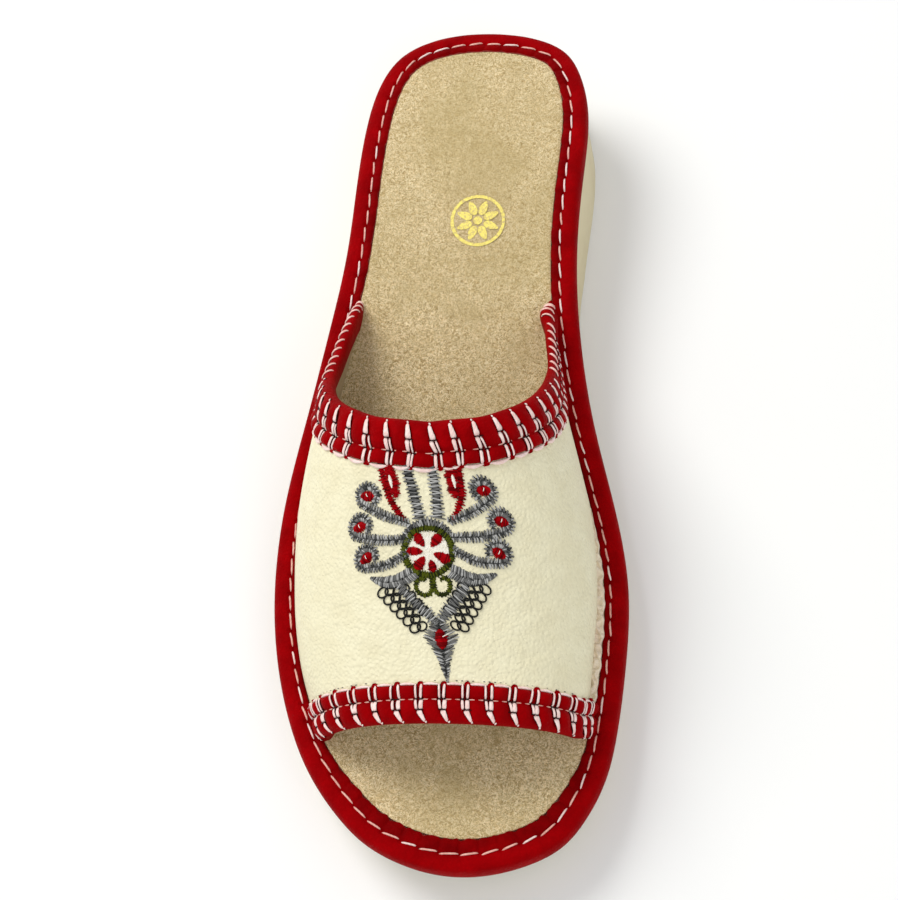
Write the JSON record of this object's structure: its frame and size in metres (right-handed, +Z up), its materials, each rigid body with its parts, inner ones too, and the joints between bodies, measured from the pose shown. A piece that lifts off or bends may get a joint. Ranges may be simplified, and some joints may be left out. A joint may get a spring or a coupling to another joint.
{
  "type": "open-toe mule slipper",
  "caption": "Open-toe mule house slipper with a low foam wedge, suede footbed, leather rand and a bound, embroidered leather vamp.",
  "frame": {"origin": "on the floor, at the centre of the slipper's box", "axes": "+Z up, +Y toward the heel, +X toward the inner side of the foot"},
  "size_m": [0.099, 0.2554, 0.0691],
  "materials": {
    "foam": "matt cream foam",
    "red_leather": "soft red leather with a low sheen",
    "suede": "napped beige suede split",
    "cream_leather": "cream pebbled leather, satin"
  },
  "bodies": {
    "root": {"outsole": "foam", "rand": "red_leather", "insole": "suede", "upper": "cream_leather", "collar_binding": "red_leather", "toe_binding": "red_leather"}
  },
  "joints": []
}
